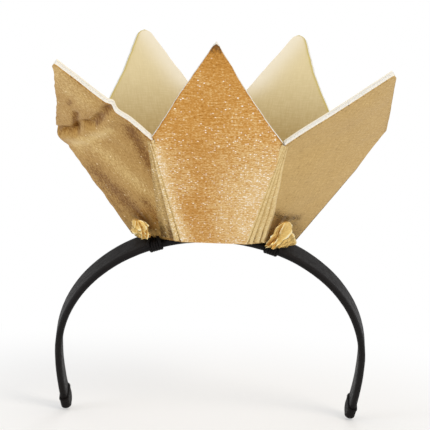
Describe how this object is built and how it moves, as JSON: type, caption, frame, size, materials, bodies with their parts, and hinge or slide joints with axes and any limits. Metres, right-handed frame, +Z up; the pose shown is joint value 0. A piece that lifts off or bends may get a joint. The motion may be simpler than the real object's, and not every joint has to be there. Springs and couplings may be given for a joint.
{
  "type": "crown headband",
  "caption": "Soft petal crown in gold lame over foam, lashed with ribbon to a raked, cloth-covered headband that grips the top of the head.",
  "frame": {"origin": "centre of the headband's arch, where the middle of the head is", "axes": "+Z up along the crown, -Y towards the front petal, +X to the wearer's left; the band's plane is raked back from +Z"},
  "size_m": [0.1394, 0.1344, 0.1777],
  "materials": {
    "gold_lame": "metallic gold lame, satin glitter",
    "foam": "off-white soft foam, cut edge",
    "lining": "pale champagne lining, soft sheen",
    "black_ribbon": "black ribbon, matte",
    "black_satin": "black satin, fine ribs",
    "band_plastic": "plain moulded plastic"
  },
  "bodies": {
    "root": {"front_panel_skin": "gold_lame", "front_panel_foam": "foam", "front_panel_lining": "lining", "left_panel_skin": "gold_lame", "left_panel_foam": "foam", "left_panel_lining": "lining", "right_panel_skin": "gold_lame", "right_panel_foam": "foam", "right_panel_lining": "lining", "back_left_panel_skin": "gold_lame", "back_left_panel_foam": "foam", "back_left_panel_lining": "lining", "back_right_panel_skin": "gold_lame", "back_right_panel_foam": "foam", "back_right_panel_lining": "lining", "base_tape": "gold_lame", "left_seam_pleats": "gold_lame", "right_seam_pleats": "gold_lame", "left_gather": "gold_lame", "right_gather": "gold_lame", "left_lashing": "black_ribbon", "right_lashing": "black_ribbon", "band_core": "band_plastic", "band_cover": "black_satin", "left_end_cap": "black_ribbon", "right_end_cap": "black_ribbon"}
  },
  "joints": []
}
